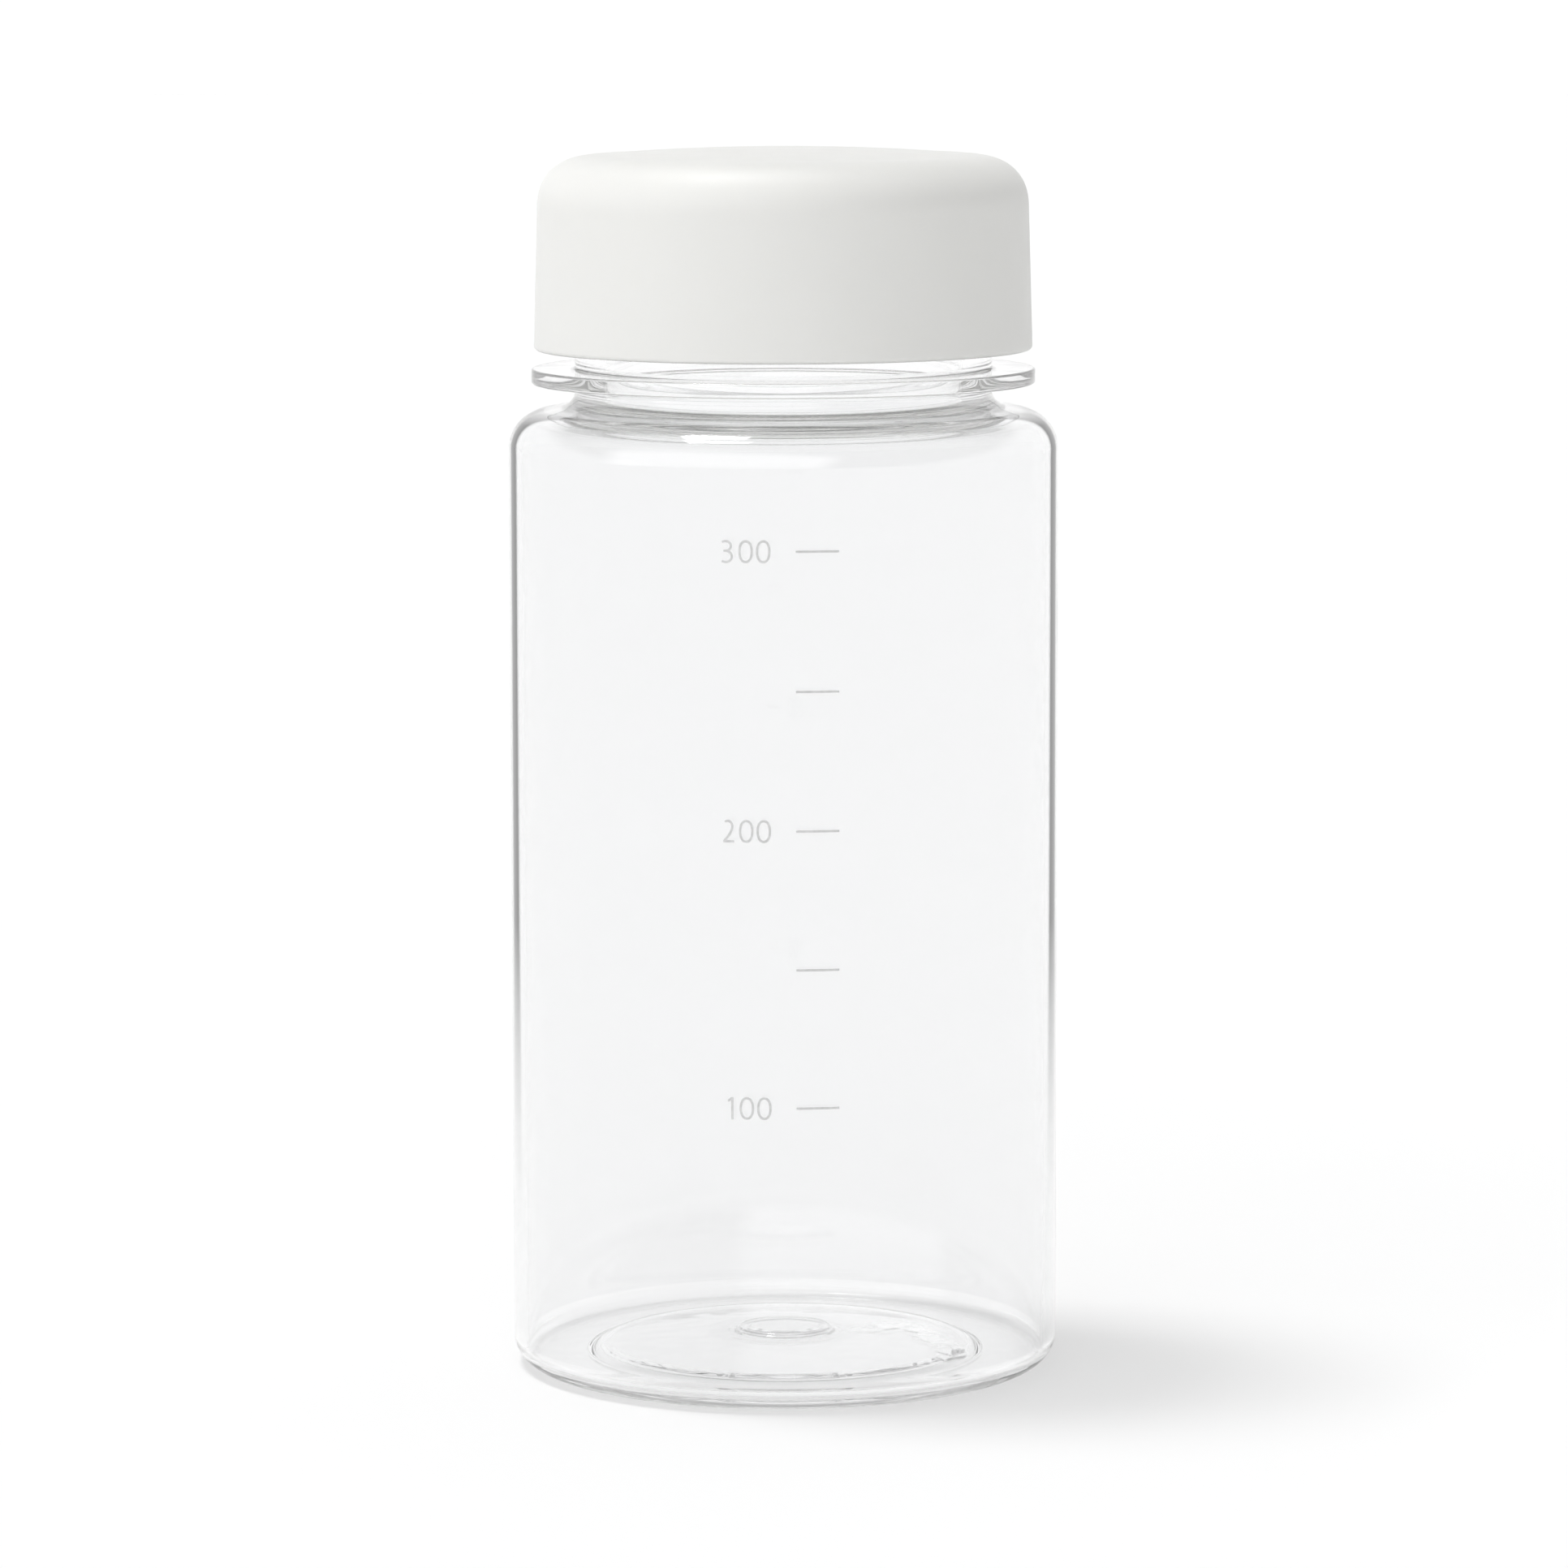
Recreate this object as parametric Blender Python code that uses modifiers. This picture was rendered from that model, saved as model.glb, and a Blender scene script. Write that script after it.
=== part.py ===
"""Clear screw-cap measuring bottle: body, cap shell, threaded cap insert and sealing ring.

Units are metres. The base centre is the origin, +Z runs up the bottle's axis, and the scale side faces -Y.
"""
import math

import bmesh
import bpy

MM = 0.001
STEPS = 64                # facets round every turned piece
GAP = 0.3 * MM            # clearance between neighbouring pieces
SMALL_EDGE = 0.3 * MM     # chamfer on the cap's inner edges

# Bottle body
BODY_R = 33.0 * MM
WALL = 1.6 * MM
BASE_CORNER_R = 3.6 * MM
FOOT_INNER_R = 24.0 * MM  # the bottle stands on the flat ring outside this
FOOT_ROUND = 0.7 * MM
PUSHUP_R = 22.2 * MM      # edge of the domed push-up
PUSHUP_EDGE_Z = 1.0 * MM
PUSHUP_TOP_Z = 2.3 * MM
GATE_R = 5.6 * MM         # small round step left by the mould's gate
GATE_STEP = 0.45 * MM
GATE_FLARE = 0.4 * MM
FLOOR_Z = 1.8 * MM        # inner floor round its edge
FLOOR_EDGE_Z = 2.5 * MM   # inner floor over the push-up's edge
FLOOR_TOP_Z = 3.85 * MM
FLOOR_CORNER_R = 2.0 * MM
SHOULDER_Z = 111.2 * MM
SHOULDER_R = 4.8 * MM
SHOULDER_SLOPE = math.radians(10.0)
INNER_SHOULDER_Z = 111.2 * MM
INNER_SHOULDER_R = 3.4 * MM

# Neck
NECK_R = 25.0 * MM
MOUTH_R = 21.4 * MM
MOUTH_Z = 141.0 * MM
RIM_ROUND = 0.6 * MM
RING_R = 30.2 * MM
RING_BOTTOM_Z = 119.1 * MM
RING_TOP_Z = 120.9 * MM
RING_ROUND = 0.25 * MM
RING_FILLET = 0.4 * MM

# Thread, shared by the neck and the cap insert
STARTS = 3
LEAD = 12.0 * MM
RIDGE_H = 1.0 * MM
RIDGE_ROOT_W = 1.7 * MM
RIDGE_CREST_W = 0.8 * MM
RIDGE_SINK = 0.5 * MM     # how far a ridge's root is buried in its wall
RIDGE_END_DEPTH = 0.2 * MM  # how far its crest ends up under the wall's surface
RIDGE_STEPS_PER_TURN = 64
RIDGE_FADE = math.radians(28.0)
NECK_RIDGE_Z = 128.0 * MM
NECK_RIDGE_SWEEP = math.radians(270.0)
CAP_RIDGE_Z = 126.0 * MM
CAP_RIDGE_SWEEP = math.radians(200.0)
THREAD_PHASE = math.radians(1.9)
SEAT_DROP = 1.45 * MM     # the cap's ridges lie this far under the neck's, centre to centre

# Cap shell
CAP_RIM_Z = 123.1 * MM
CAP_RIM_R = 29.85 * MM
CAP_TOP_R = 29.4 * MM
CAP_EDGE_W = 7.0 * MM     # width of the rounded top edge, measured along the radius
CAP_EDGE_H = 6.4 * MM     # height of the rounded top edge
CAP_EDGE_POWER = 2.35     # 2 is an ellipse, more is squarer
CAP_TOP_EDGE_Z = 146.3 * MM
CAP_TOP_Z = 147.2 * MM
CAP_RIM_ROUND = 0.5 * MM
SHELL_INNER_R = 28.0 * MM
SHELL_ROOF_Z = 144.9 * MM
SHELL_INNER_EDGE = 2.8 * MM

# Cap insert
INSERT_R = SHELL_INNER_R - GAP
INSERT_BORE_R = NECK_R + RIDGE_H + GAP
INSERT_BOTTOM_Z = 123.9 * MM
INSERT_TOP_Z = SHELL_ROOF_Z - GAP
INSERT_ROOF_Z = 143.2 * MM
INSERT_TOP_EDGE = 3.0 * MM
PLUG_R = 20.4 * MM
PLUG_INNER_R = 18.8 * MM
PLUG_BOTTOM_Z = 139.4 * MM
PLUG_LEAD_IN = 0.6 * MM

# Sealing ring
SEAL_R = 25.9 * MM
SEAL_INNER_R = PLUG_R + GAP
SEAL_BOTTOM_Z = MOUTH_Z + GAP
SEAL_TOP_Z = INSERT_ROOF_Z - GAP
SEAL_ROUND = 0.35 * MM

COLOURS = {
    "clear_plastic": ((0.86, 0.90, 0.92, 1.0), 0.06),
    "white_cap_plastic": ((0.86, 0.86, 0.83, 1.0), 0.42),
    "white_insert_plastic": ((0.80, 0.80, 0.78, 1.0), 0.48),
    "clear_silicone": ((0.78, 0.80, 0.80, 1.0), 0.35),
}


def arc(centre_r, centre_z, radius, start_deg, end_deg, count):
    """Points on a circular arc in the profile plane, both ends included."""
    points = []
    for i in range(count + 1):
        angle = math.radians(start_deg + (end_deg - start_deg) * i / count)
        points.append((centre_r + radius * math.cos(angle), centre_z + radius * math.sin(angle)))
    return points


def shoulder_line(wall_r, corner_r, corner_z, neck_r):
    """Shoulder from the neck down to the straight wall: a sloping run, then a round corner."""
    slope_deg = math.degrees(SHOULDER_SLOPE)
    corner = arc(wall_r - corner_r, corner_z, corner_r, 90.0 - slope_deg, 0.0, 5)
    first_r, first_z = corner[0]
    foot_z = first_z + (first_r - neck_r) * math.tan(SHOULDER_SLOPE)
    return [(neck_r, foot_z)] + corner


def dome(edge_z, top_z):
    """Low dome over the push-up with the gate's round step on top, from the axis out to its edge."""
    points = [(0.0, top_z + GATE_STEP), (GATE_R - GATE_FLARE, top_z + GATE_STEP)]
    for r in (GATE_R + GATE_FLARE, 0.52 * PUSHUP_R, 0.77 * PUSHUP_R, PUSHUP_R):
        points.append((r, edge_z + (top_z - edge_z) * (1.0 - (r / PUSHUP_R) ** 2)))
    return points


def bottle_profile():
    """Closed outline of the body, from the inner floor over the mouth and down the outside."""
    inner_r = BODY_R - WALL
    floor = dome(FLOOR_EDGE_Z, FLOOR_TOP_Z) + [(FOOT_INNER_R, FLOOR_Z)]
    floor_corner = arc(inner_r - FLOOR_CORNER_R, FLOOR_Z + FLOOR_CORNER_R, FLOOR_CORNER_R, -90.0, 0.0, 4)
    inner_shoulder = shoulder_line(inner_r, INNER_SHOULDER_R, INNER_SHOULDER_Z, MOUTH_R)
    inner_shoulder.reverse()
    rim = arc(MOUTH_R + RIM_ROUND, MOUTH_Z - RIM_ROUND, RIM_ROUND, 180.0, 90.0, 2)
    rim += arc(NECK_R - RIM_ROUND, MOUTH_Z - RIM_ROUND, RIM_ROUND, 90.0, 0.0, 2)
    support_ring = [(NECK_R, RING_TOP_Z + RING_FILLET), (NECK_R + RING_FILLET, RING_TOP_Z)]
    support_ring += arc(RING_R - RING_ROUND, RING_TOP_Z - RING_ROUND, RING_ROUND, 90.0, 0.0, 2)
    support_ring += arc(RING_R - RING_ROUND, RING_BOTTOM_Z + RING_ROUND, RING_ROUND, 0.0, -90.0, 2)
    support_ring += [(NECK_R + RING_FILLET, RING_BOTTOM_Z), (NECK_R, RING_BOTTOM_Z - RING_FILLET)]
    outer_shoulder = shoulder_line(BODY_R, SHOULDER_R, SHOULDER_Z, NECK_R)
    base_corner = arc(BODY_R - BASE_CORNER_R, BASE_CORNER_R, BASE_CORNER_R, 0.0, -90.0, 5)
    underside = dome(PUSHUP_EDGE_Z, PUSHUP_TOP_Z)
    underside += [(FOOT_INNER_R - FOOT_ROUND, 0.5 * FOOT_ROUND), (FOOT_INNER_R, 0.0)]
    underside.reverse()
    inside = floor + floor_corner + inner_shoulder
    outside = rim + support_ring + outer_shoulder + base_corner + underside
    return inside + outside


def shell_profile():
    """Closed outline of the cap shell, from the roof's underside out to the crown."""
    inner_corner = arc(
        SHELL_INNER_R - SHELL_INNER_EDGE, SHELL_ROOF_Z - SHELL_INNER_EDGE, SHELL_INNER_EDGE, 90.0, 0.0, 5)
    crown = []
    edge_r = CAP_TOP_R - CAP_EDGE_W
    for i in range(5):
        fraction = i / 5
        height = CAP_TOP_EDGE_Z + (CAP_TOP_Z - CAP_TOP_EDGE_Z) * (1.0 - fraction ** 2)
        crown.append((edge_r * fraction, height))
    edge = []
    for i in range(11):
        angle = math.radians(90.0 * (1.0 - i / 10))
        across = max(math.cos(angle), 0.0) ** (2.0 / CAP_EDGE_POWER)
        up = max(math.sin(angle), 0.0) ** (2.0 / CAP_EDGE_POWER)
        edge.append((edge_r + CAP_EDGE_W * across, CAP_TOP_EDGE_Z - CAP_EDGE_H + CAP_EDGE_H * up))
    rim = arc(CAP_RIM_R - CAP_RIM_ROUND, CAP_RIM_Z + CAP_RIM_ROUND, CAP_RIM_ROUND, 0.0, -90.0, 3)
    inside = [(SHELL_INNER_R + SMALL_EDGE, CAP_RIM_Z), (SHELL_INNER_R, CAP_RIM_Z + SMALL_EDGE)]
    inner_corner.reverse()
    return crown + edge + rim + inside + inner_corner + [(0.0, SHELL_ROOF_Z)]


def insert_profile():
    """Closed outline of the cap insert: skirt, roof and the plug ring that enters the mouth."""
    top = [(0.0, INSERT_TOP_Z)]
    top += arc(INSERT_R - INSERT_TOP_EDGE, INSERT_TOP_Z - INSERT_TOP_EDGE, INSERT_TOP_EDGE, 90.0, 0.0, 5)
    skirt = [
        (INSERT_R, INSERT_BOTTOM_Z + SMALL_EDGE),
        (INSERT_R - SMALL_EDGE, INSERT_BOTTOM_Z),
        (INSERT_BORE_R + SMALL_EDGE, INSERT_BOTTOM_Z),
        (INSERT_BORE_R, INSERT_BOTTOM_Z + SMALL_EDGE),
        (INSERT_BORE_R, INSERT_ROOF_Z),
    ]
    plug = [
        (PLUG_R, INSERT_ROOF_Z),
        (PLUG_R, PLUG_BOTTOM_Z + PLUG_LEAD_IN),
        (PLUG_R - PLUG_LEAD_IN, PLUG_BOTTOM_Z),
        (PLUG_INNER_R + SMALL_EDGE, PLUG_BOTTOM_Z),
        (PLUG_INNER_R, PLUG_BOTTOM_Z + SMALL_EDGE),
        (PLUG_INNER_R, INSERT_ROOF_Z),
    ]
    return top + skirt + plug + [(0.0, INSERT_ROOF_Z)]


def seal_profile():
    """Closed loop of the sealing ring's section, with rounded edges."""
    outer = arc(SEAL_R - SEAL_ROUND, SEAL_TOP_Z - SEAL_ROUND, SEAL_ROUND, 90.0, 0.0, 2)
    outer += arc(SEAL_R - SEAL_ROUND, SEAL_BOTTOM_Z + SEAL_ROUND, SEAL_ROUND, 0.0, -90.0, 2)
    inner = arc(SEAL_INNER_R + SEAL_ROUND, SEAL_BOTTOM_Z + SEAL_ROUND, SEAL_ROUND, -90.0, -180.0, 2)
    inner += arc(SEAL_INNER_R + SEAL_ROUND, SEAL_TOP_Z - SEAL_ROUND, SEAL_ROUND, 180.0, 90.0, 2)
    return outer + inner


def make_material(name):
    colour, roughness = COLOURS[name]
    material = bpy.data.materials.new(name)
    material.use_nodes = True
    shader = material.node_tree.nodes["Principled BSDF"]
    shader.inputs["Base Color"].default_value = colour
    shader.inputs["Roughness"].default_value = roughness
    shader.inputs["Metallic"].default_value = 0.0
    material.diffuse_color = colour
    return material


def add_object(name, mesh, collection):
    obj = bpy.data.objects.new(name, mesh)
    collection.objects.link(obj)
    return obj


def turned_piece(name, points, closed, material, collection):
    """Revolve a profile about +Z with a Screw modifier."""
    mesh = bpy.data.meshes.new(name)
    edges = [(i, i + 1) for i in range(len(points) - 1)]
    if closed:
        edges.append((len(points) - 1, 0))
    mesh.from_pydata([(r, 0.0, z) for r, z in points], edges, [])
    obj = add_object(name, mesh, collection)
    obj.data.materials.append(material)
    screw = obj.modifiers.new("turn", "SCREW")
    screw.axis = "Z"
    screw.angle = 2.0 * math.pi
    screw.steps = STEPS
    screw.render_steps = STEPS
    screw.use_merge_vertices = True
    screw.merge_threshold = 0.01 * MM
    screw.use_smooth_shade = True
    return obj


def add_ridge(bm, wall_r, outward, start_z, sweep, start_angle):
    """One helical ridge with a trapezoid section, fading into the wall at both ends."""
    count = round(sweep / (2.0 * math.pi) * RIDGE_STEPS_PER_TURN)
    sections = []
    for i in range(count + 1):
        angle = sweep * i / count
        fade = min(1.0, angle / RIDGE_FADE, (sweep - angle) / RIDGE_FADE)
        rise = RIDGE_H * fade - RIDGE_END_DEPTH * (1.0 - fade)
        root_r = wall_r - outward * RIDGE_SINK
        crest_r = wall_r + outward * rise
        middle_z = start_z + LEAD * angle / (2.0 * math.pi)
        slant = RIDGE_SINK / RIDGE_H * (RIDGE_ROOT_W - RIDGE_CREST_W)
        corners = [
            (root_r, middle_z - 0.5 * (RIDGE_ROOT_W + slant)),
            (crest_r, middle_z - 0.5 * RIDGE_CREST_W),
            (crest_r, middle_z + 0.5 * RIDGE_CREST_W),
            (root_r, middle_z + 0.5 * (RIDGE_ROOT_W + slant)),
        ]
        turn = start_angle + angle
        ring = [bm.verts.new((r * math.cos(turn), r * math.sin(turn), z)) for r, z in corners]
        sections.append(ring)
    for lower, upper in zip(sections, sections[1:]):
        for i in range(4):
            j = (i + 1) % 4
            bm.faces.new((lower[i], lower[j], upper[j], upper[i]))
    bm.faces.new(sections[0])
    bm.faces.new(list(reversed(sections[-1])))


def thread_cutter(name, wall_r, outward, start_z, sweep, offset_angle, collection):
    """All starts of one thread as a single mesh that a Boolean joins to its wall."""
    bm = bmesh.new()
    for start in range(STARTS):
        start_angle = offset_angle + 2.0 * math.pi * start / STARTS
        add_ridge(bm, wall_r, outward, start_z, sweep, start_angle)
    bmesh.ops.recalc_face_normals(bm, faces=bm.faces)
    mesh = bpy.data.meshes.new(name)
    bm.to_mesh(mesh)
    bm.free()
    obj = add_object(name, mesh, collection)
    obj.hide_render = True
    obj.display_type = "WIRE"
    return obj


def join_thread(obj, thread):
    boolean = obj.modifiers.new("thread", "BOOLEAN")
    boolean.operation = "UNION"
    boolean.solver = "EXACT"
    boolean.object = thread


def main():
    for obj in list(bpy.data.objects):
        bpy.data.objects.remove(obj)

    parts = bpy.data.collections.new("measuring_bottle")
    cutters = bpy.data.collections.new("cutters")
    bpy.context.scene.collection.children.link(parts)
    bpy.context.scene.collection.children.link(cutters)

    clear = make_material("clear_plastic")
    white = make_material("white_cap_plastic")
    insert_white = make_material("white_insert_plastic")
    silicone = make_material("clear_silicone")

    body = turned_piece("bottle_body", bottle_profile(), False, clear, parts)
    turned_piece("cap_shell", shell_profile(), False, white, parts)
    insert = turned_piece("cap_insert", insert_profile(), False, insert_white, parts)
    turned_piece("seal_ring", seal_profile(), True, silicone, parts)

    # Both threads start part of a facet round, so that no ridge vertex lies on an edge of its wall.
    # The insert's ridges follow the neck's helix, set a little under it so that they pull the cap down.
    cap_rise = CAP_RIDGE_Z + SEAT_DROP - NECK_RIDGE_Z
    cap_phase = THREAD_PHASE + 2.0 * math.pi * cap_rise / LEAD

    neck_thread = thread_cutter(
        "neck_thread", NECK_R, 1.0, NECK_RIDGE_Z, NECK_RIDGE_SWEEP, THREAD_PHASE, cutters)
    join_thread(body, neck_thread)
    cap_thread = thread_cutter(
        "insert_thread", INSERT_BORE_R, -1.0, CAP_RIDGE_Z, CAP_RIDGE_SWEEP, cap_phase, cutters)
    join_thread(insert, cap_thread)


main()
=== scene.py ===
"""Looks for the clear screw-cap measuring bottle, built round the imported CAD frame.

Everything is in metres. +Z runs up the bottle's axis and the printed scale faces -Y.
"""
import math

import bmesh
import bpy
from mathutils import Matrix, Vector


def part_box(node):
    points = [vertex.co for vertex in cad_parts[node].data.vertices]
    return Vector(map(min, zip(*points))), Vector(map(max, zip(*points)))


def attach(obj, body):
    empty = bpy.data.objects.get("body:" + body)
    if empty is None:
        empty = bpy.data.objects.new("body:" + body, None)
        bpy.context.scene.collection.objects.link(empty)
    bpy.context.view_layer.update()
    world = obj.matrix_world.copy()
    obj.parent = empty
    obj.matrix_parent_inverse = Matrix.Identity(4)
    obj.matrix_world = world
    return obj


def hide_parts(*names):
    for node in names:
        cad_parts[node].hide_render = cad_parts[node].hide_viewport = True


MM = 0.001
TAU = 2.0 * math.pi

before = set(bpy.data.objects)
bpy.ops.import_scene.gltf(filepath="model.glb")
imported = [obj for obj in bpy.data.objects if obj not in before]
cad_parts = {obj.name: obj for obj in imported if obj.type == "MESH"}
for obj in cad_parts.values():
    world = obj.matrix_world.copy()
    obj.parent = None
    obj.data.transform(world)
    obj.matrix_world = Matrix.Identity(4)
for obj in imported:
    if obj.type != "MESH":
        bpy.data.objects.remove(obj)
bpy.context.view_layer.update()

body_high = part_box("bottle_body")[1]
shell_low, shell_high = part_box("cap_shell")
insert_low, insert_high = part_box("cap_insert")
seal_low, seal_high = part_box("seal_ring")

# ---------------------------------------------------------------------------------------------
# Sizes. The outer ones come from the frame, and the rest repeat the solids' own sizes, apart from the
# floor's inner corner, the fillets at the neck's foot and the flow mark, which are details of this mesh.
# ---------------------------------------------------------------------------------------------
SEGMENTS = 200            # facets round every turned piece
INK_PROUD = 0.03 * MM     # the ink stands this far out of the wall, so the wall is that much smaller

BODY_R = body_high.x - INK_PROUD
MOUTH_Z = body_high.z
WALL = 1.6 * MM
INNER_R = BODY_R - WALL
BASE_CORNER_R = 3.6 * MM
FOOT_INNER_R = 24.0 * MM
FOOT_ROUND = 0.7 * MM
FOOT_EASE_Z = 0.08 * MM   # height of the standing ring's inner edge half way round its curve
PUSHUP_R = 22.2 * MM
PUSHUP_EDGE_Z = 1.0 * MM
PUSHUP_TOP_Z = 2.3 * MM
GATE_R = 5.6 * MM
GATE_STEP = 0.45 * MM
GATE_FLARE = 0.4 * MM
DOME_ROWS = 14            # mesh rows across the dome

# Flow mark in the moulded base: its path in plan in mm, its half width and its height
MARK_PATH = ((10.5, 1.5), (13.5, 6.2), (17.0, 3.0), (19.5, -4.0), (21.0, -10.0))
MARK_W = 0.8 * MM
MARK_H = 0.40 * MM

FLOOR_Z = 1.8 * MM
FLOOR_EDGE_Z = 2.5 * MM
FLOOR_TOP_Z = 3.85 * MM
FLOOR_CORNER_R = 1.0 * MM # tighter than the solid's own corner
SHOULDER_Z = 111.2 * MM
SHOULDER_R = 4.8 * MM
SHOULDER_SLOPE = math.radians(10.0)
INNER_SHOULDER_Z = 111.2 * MM
INNER_SHOULDER_R = 3.4 * MM
NECK_FOOT_FILLET = 2.0 * MM
INNER_FOOT_FILLET = 2.0 * MM

NECK_R = 25.0 * MM
MOUTH_R = 21.4 * MM
RIM_ROUND = 0.6 * MM
RIM_RUN = 0.5 * MM        # plain wall between the rim and the thread's fine rows
WALL_ROWS = 2.0 * MM      # spacing of the mesh rows up the inner wall
RING_R = 30.2 * MM
RING_BOTTOM_Z = 119.1 * MM
RING_TOP_Z = 120.9 * MM
RING_ROUND = 0.25 * MM
RING_FILLET = 0.4 * MM

STARTS = 3
LEAD = 12.0 * MM
RIDGE_H = 1.0 * MM
RIDGE_ROOT_W = 1.7 * MM
RIDGE_CREST_W = 0.8 * MM
RIDGE_FADE = math.radians(28.0)
RIDGE_ROWS = 0.16 * MM    # spacing of the mesh rows that carry the ridges
NECK_RIDGE_Z = 128.0 * MM
NECK_RIDGE_SWEEP = math.radians(270.0)
CAP_RIDGE_Z = 126.0 * MM
CAP_RIDGE_SWEEP = math.radians(200.0)
THREAD_PHASE = math.radians(1.9)
SEAT_DROP = 1.45 * MM

CAP_RIM_Z = shell_low.z
CAP_TOP_Z = shell_high.z
CAP_RIM_R = shell_high.x
CAP_TOP_R = 29.4 * MM
CAP_EDGE_W = 7.0 * MM
CAP_EDGE_H = 6.4 * MM
CAP_EDGE_POWER = 2.35
CAP_TOP_EDGE_Z = 146.3 * MM
CAP_RIM_ROUND = 0.5 * MM
SHELL_INNER_R = 28.0 * MM
SHELL_ROOF_Z = 144.9 * MM
SHELL_INNER_EDGE = 2.8 * MM
SMALL_EDGE = 0.3 * MM

INSERT_R = insert_high.x
INSERT_BORE_R = 26.3 * MM
INSERT_BOTTOM_Z = insert_low.z
INSERT_TOP_Z = insert_high.z
INSERT_ROOF_Z = 143.2 * MM
INSERT_TOP_EDGE = 3.0 * MM
PLUG_R = 20.4 * MM
PLUG_INNER_R = 18.8 * MM
PLUG_BOTTOM_Z = 139.4 * MM
PLUG_LEAD_IN = 0.6 * MM

SEAL_R = seal_high.x
SEAL_INNER_R = 20.7 * MM
SEAL_BOTTOM_Z = seal_low.z
SEAL_TOP_Z = seal_high.z
SEAL_ROUND = 0.35 * MM

# Printed scale: the lowest mark's height, the step between marks, and the lettering
SCALE_FIRST_Z = 36.46 * MM
SCALE_STEP = 16.31 * MM
SCALE_LABELS = {0: "100", 2: "200", 4: "300"}
SCALE_COUNT = 5
TICK_LEFT = 1.40 * MM
TICK_RIGHT = 6.45 * MM
TICK_THICK = 0.27 * MM
DIGIT_H = 2.70 * MM
DIGIT_W = 1.74 * MM
DIGIT_STROKE = 0.28 * MM
DIGIT_PITCH = 2.05 * MM
DIGIT_LAST_X = -2.36 * MM
INK_STEP = 0.25 * MM      # longest step along a straight stroke, so that it bends round the wall
INK_GAP = 0.006 * MM      # air between the ink and the wall, so that the two meshes stay apart
INK_LAYER = 0.003 * MM    # how much lower each further stroke of a digit lies than the one before

# Camera
CAMERA_AWAY = 839.0 * MM
CAMERA_HEIGHT = 175.2 * MM
CAMERA_PITCH = math.radians(7.11)
CAMERA_ROLL = math.radians(-0.10)
CAMERA_LENS = 160.7       # mm on a 36 mm sensor

# Clear plastic
CLEAR_IOR = 1.56
CLEAR_TINT = (0.995, 0.996, 0.997)
WALL_TINT = (0.905, 0.908, 0.912)
RIPPLE = 0.02 * MM
# The wall's outline is painted shade: where the wall is seen on edge, its colour darkens to the edge colour
# below in place of a dark surround's reflection.
PAINTED_EDGE_SHADE = (0.0, 0.0, 0.0)
EDGE_START = 0.74         # Layer Weight values between which the wall's painted edge shade darkens, and fades again
EDGE_FULL = 0.78
EDGE_FADE = 0.86
EDGE_END = 0.91
EDGE_RIM = 0.25           # share of the darkening that is left at the very silhouette
EDGE_LOW_Z = 14.0 * MM    # the band fades towards the pale floor
EDGE_HIGH_Z = 55.0 * MM
EDGE_STOP_Z = 114.5 * MM  # and it fades out over the shoulder
EDGE_GONE_Z = 118.0 * MM

# Opaque plastics, silicone and ink. Pairs of colours are the darker and the lighter end of a variation.
SHELL_COLOUR = (0.73, 0.73, 0.712)
SHELL_ROUGHNESS = 0.50
SHELL_GRAIN = 0.35
INSERT_COLOUR = (0.80, 0.80, 0.785)
INSERT_ROUGHNESS = 0.46
INSERT_GRAIN = 0.25
INSERT_PAINTED_GLOW = 0.35        # painted light: a glow that stands for light coming through the cap's wall
GRAIN_HEIGHT = 0.02 * MM
PLASTIC_SCATTER = 0.25
PLASTIC_SCATTER_DEPTH = 0.8 * MM
SILICONE_COLOURS = ((0.70, 0.71, 0.71), (0.82, 0.83, 0.83))
INK_COLOURS = ((0.53, 0.53, 0.53), (0.62, 0.62, 0.62))

# Studio
FLOOR_RADIUS = 6.0
FLOOR_ALBEDO = 0.42
FLOOR_GLOW = 0.53         # a light table: part of the floor's brightness comes from below
PAINTED_POOL_UNDER_BASE = 0.2          # a painted pool of light on the floor under the clear base, for the light that the base gathers there
FLOOR_DROP = 0.05 * MM    # air under the foot, so that foot and floor don't share a plane
HORIZON_LIGHT = 1.04      # what the floor sends back, so that floor and backdrop meet unseen
SKY_LIGHT = 0.40
KEY_AIM = (105.0, 75.0)   # each soft box: azimuth and elevation in degrees, half sizes, edge, strength
KEY_SIZE = (0.115, 0.115)
KEY_SOFT = 0.03
KEY_STRENGTH = 33.0
FILL_AIM = (30.0, 20.0)
FILL_SIZE = (1.10, 0.45)
FILL_SOFT = 0.28
FILL_STRENGTH = 1.35
BACKDROP_TILT = 22.0      # degrees by which the bright part of the backdrop rises behind the bottle
LIGHT_BOUNCES = 48        # light goes round inside the thick clear base many times


# ---------------------------------------------------------------------------------------------
# Profiles
# ---------------------------------------------------------------------------------------------
def arc(centre_r, centre_z, radius, start_deg, end_deg, count):
    """Points on a circular arc in the profile plane, both ends included."""
    points = []
    for i in range(count + 1):
        angle = math.radians(start_deg + (end_deg - start_deg) * i / count)
        points.append((centre_r + radius * math.cos(angle), centre_z + radius * math.sin(angle)))
    return points


def fillet(before, corner, after, radius, count):
    """Arc that rounds the corner between two straight runs."""
    a = (Vector(before) - Vector(corner)).normalized()
    b = (Vector(after) - Vector(corner)).normalized()
    half = 0.5 * a.angle(b)
    reach = radius / math.tan(half)
    centre = Vector(corner) + (a + b).normalized() * (radius / math.sin(half))
    start = Vector(corner) + a * reach - centre
    end = Vector(corner) + b * reach - centre
    turn = start.angle_signed(end)
    points = []
    for i in range(count + 1):
        angle = -turn * i / count
        c, s = math.cos(angle), math.sin(angle)
        points.append((centre.x + start.x * c - start.y * s, centre.y + start.x * s + start.y * c))
    return points


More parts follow.
